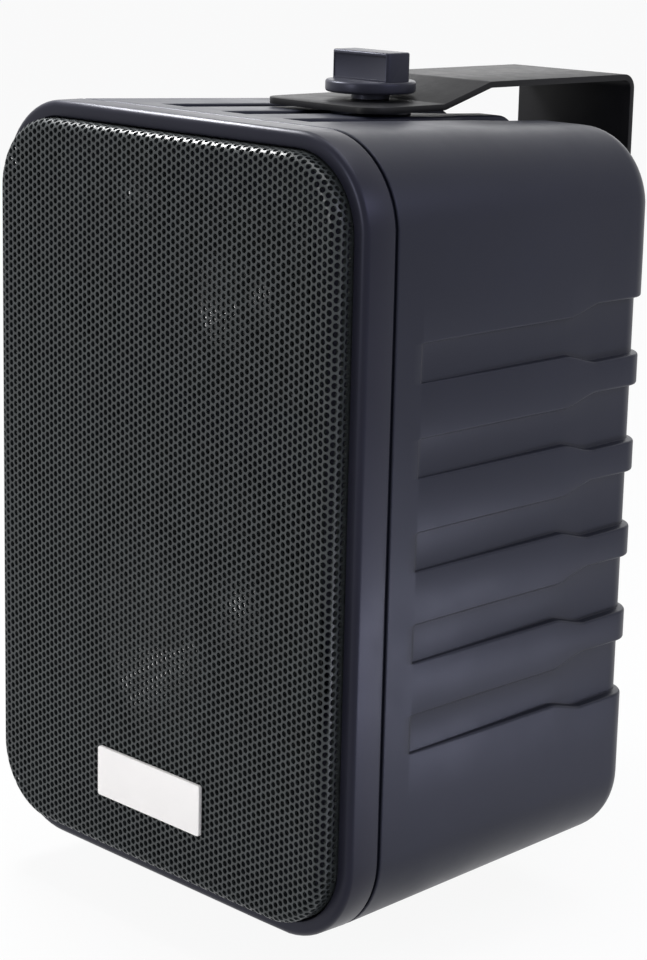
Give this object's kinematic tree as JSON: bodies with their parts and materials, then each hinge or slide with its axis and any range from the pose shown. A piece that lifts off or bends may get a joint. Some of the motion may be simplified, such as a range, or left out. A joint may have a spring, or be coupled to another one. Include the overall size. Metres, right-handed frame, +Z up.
{
  "type": "wall speaker",
  "caption": "Compact loudspeaker in a moulded cabinet with a perforated steel grille, swivelling between wing knobs in a steel wall bracket.",
  "frame": {"origin": "middle of the bracket's wall face", "axes": "+Z up, +Y from the front of the speaker to the wall, +X to the right seen from the front"},
  "size_m": [0.165, 0.1887, 0.2726],
  "materials": {
    "shell_plastic": "satin moulded",
    "baffle_plastic": "satin moulded",
    "grille_paint": "satin powder coat",
    "bracket_paint": "satin powder coat",
    "badge_white": "satin",
    "knob_plastic": "fine grain",
    "stud_steel": "zinc plated",
    "brass": "turned",
    "rubber": "matt",
    "basket_paint": "satin",
    "driver_plastic": "satin",
    "cone_paper": "pressed pulp",
    "spider_cloth": "stiffened weave",
    "dome_silk": "coated",
    "coil_copper": "wound wire",
    "plate_steel": "zinc plated",
    "ferrite": "ground",
    "lever_red": "moulded",
    "lever_black": "moulded",
    "board": "solder mask",
    "capacitor": "film sleeve",
    "resistor": "matt",
    "felt": "needled",
    "screw_black": "blackened"
  },
  "bodies": {
    "bracket": {"u_bracket": "bracket_paint"},
    "cabinet": {"cabinet_shell": "shell_plastic", "front_baffle": "baffle_plastic", "grille": "grille_paint", "badge_plate": "badge_white", "insert_top": "brass", "insert_bottom": "brass", "washer_top": "rubber", "washer_bottom": "rubber", "woofer_basket": "basket_paint", "woofer_gasket": "rubber", "woofer_surround": "rubber", "woofer_spider": "spider_cloth", "woofer_top_plate": "plate_steel", "woofer_magnet": "ferrite", "woofer_yoke": "plate_steel", "midrange_frame": "driver_plastic", "midrange_surround": "rubber", "midrange_top_plate": "plate_steel", "midrange_magnet": "ferrite", "midrange_yoke": "plate_steel", "tweeter_plate": "driver_plastic", "tweeter_surround": "dome_silk", "tweeter_magnet": "ferrite", "port_tube": "driver_plastic", "terminal_cup": "driver_plastic", "terminal_contacts": "brass", "crossover_board": "board", "crossover_coils": "coil_copper", "crossover_capacitors": "capacitor", "crossover_resistors": "resistor", "damping_felt": "felt", "baffle_screws": "screw_black", "woofer_screws": "screw_black", "midrange_screws": "screw_black", "tweeter_screws": "screw_black", "terminal_screws": "screw_black", "board_screws": "plate_steel"},
    "woofer_moving": {"woofer_cone": "cone_paper", "woofer_dust_cap": "cone_paper", "woofer_voice_coil": "coil_copper"},
    "midrange_moving": {"midrange_cone": "cone_paper", "midrange_voice_coil": "coil_copper"},
    "tweeter_moving": {"tweeter_dome": "dome_silk"},
    "upper_knob": {"knob_top": "knob_plastic", "stud_top": "stud_steel"},
    "lower_knob": {"knob_bottom": "knob_plastic", "stud_bottom": "stud_steel"},
    "red_lever": {"lever_red": "lever_red"},
    "black_lever": {"lever_black": "lever_black"}
  },
  "joints": [
    {"name": "swivel", "type": "hinge", "parent": "bracket", "child": "cabinet", "pos_m": [0, -0.0995, 0], "axis": [0, 0, 1], "range_deg": [-75, 75]},
    {"name": "upper_knob_turn", "type": "hinge", "parent": "cabinet", "child": "upper_knob", "pos_m": [0, -0.0995, 0.12], "axis": [0, 0, 1], "continuous": true},
    {"name": "lower_knob_turn", "type": "hinge", "parent": "cabinet", "child": "lower_knob", "pos_m": [0, -0.0995, -0.12], "axis": [0, 0, -1], "continuous": true},
    {"name": "woofer_travel", "type": "slide", "parent": "cabinet", "child": "woofer_moving", "axis": [0, -1, 0], "range_m": [-0.003, 0.003], "stiffness_N_per_m": 800, "deforming": ["woofer_surround", "woofer_spider"]},
    {"name": "midrange_travel", "type": "slide", "parent": "cabinet", "child": "midrange_moving", "axis": [0, -1, 0], "range_m": [-0.001, 0.001], "stiffness_N_per_m": 300, "deforming": ["midrange_surround"]},
    {"name": "tweeter_travel", "type": "slide", "parent": "cabinet", "child": "tweeter_moving", "axis": [0, -1, 0], "range_m": [-0.0003, 0.0003], "stiffness_N_per_m": 30, "deforming": ["tweeter_surround"]},
    {"name": "red_lever_press", "type": "hinge", "parent": "cabinet", "child": "red_lever", "pos_m": [-0.012, -0.0575, -0.04], "axis": [-1, 0, 0], "range_deg": [0, 22], "stiffness_Nm_per_rad": 0.005, "springref_deg": -11.46},
    {"name": "black_lever_press", "type": "hinge", "parent": "cabinet", "child": "black_lever", "pos_m": [0.012, -0.0575, -0.04], "axis": [-1, 0, 0], "range_deg": [0, 22], "stiffness_Nm_per_rad": 0.005, "springref_deg": -11.46}
  ]
}
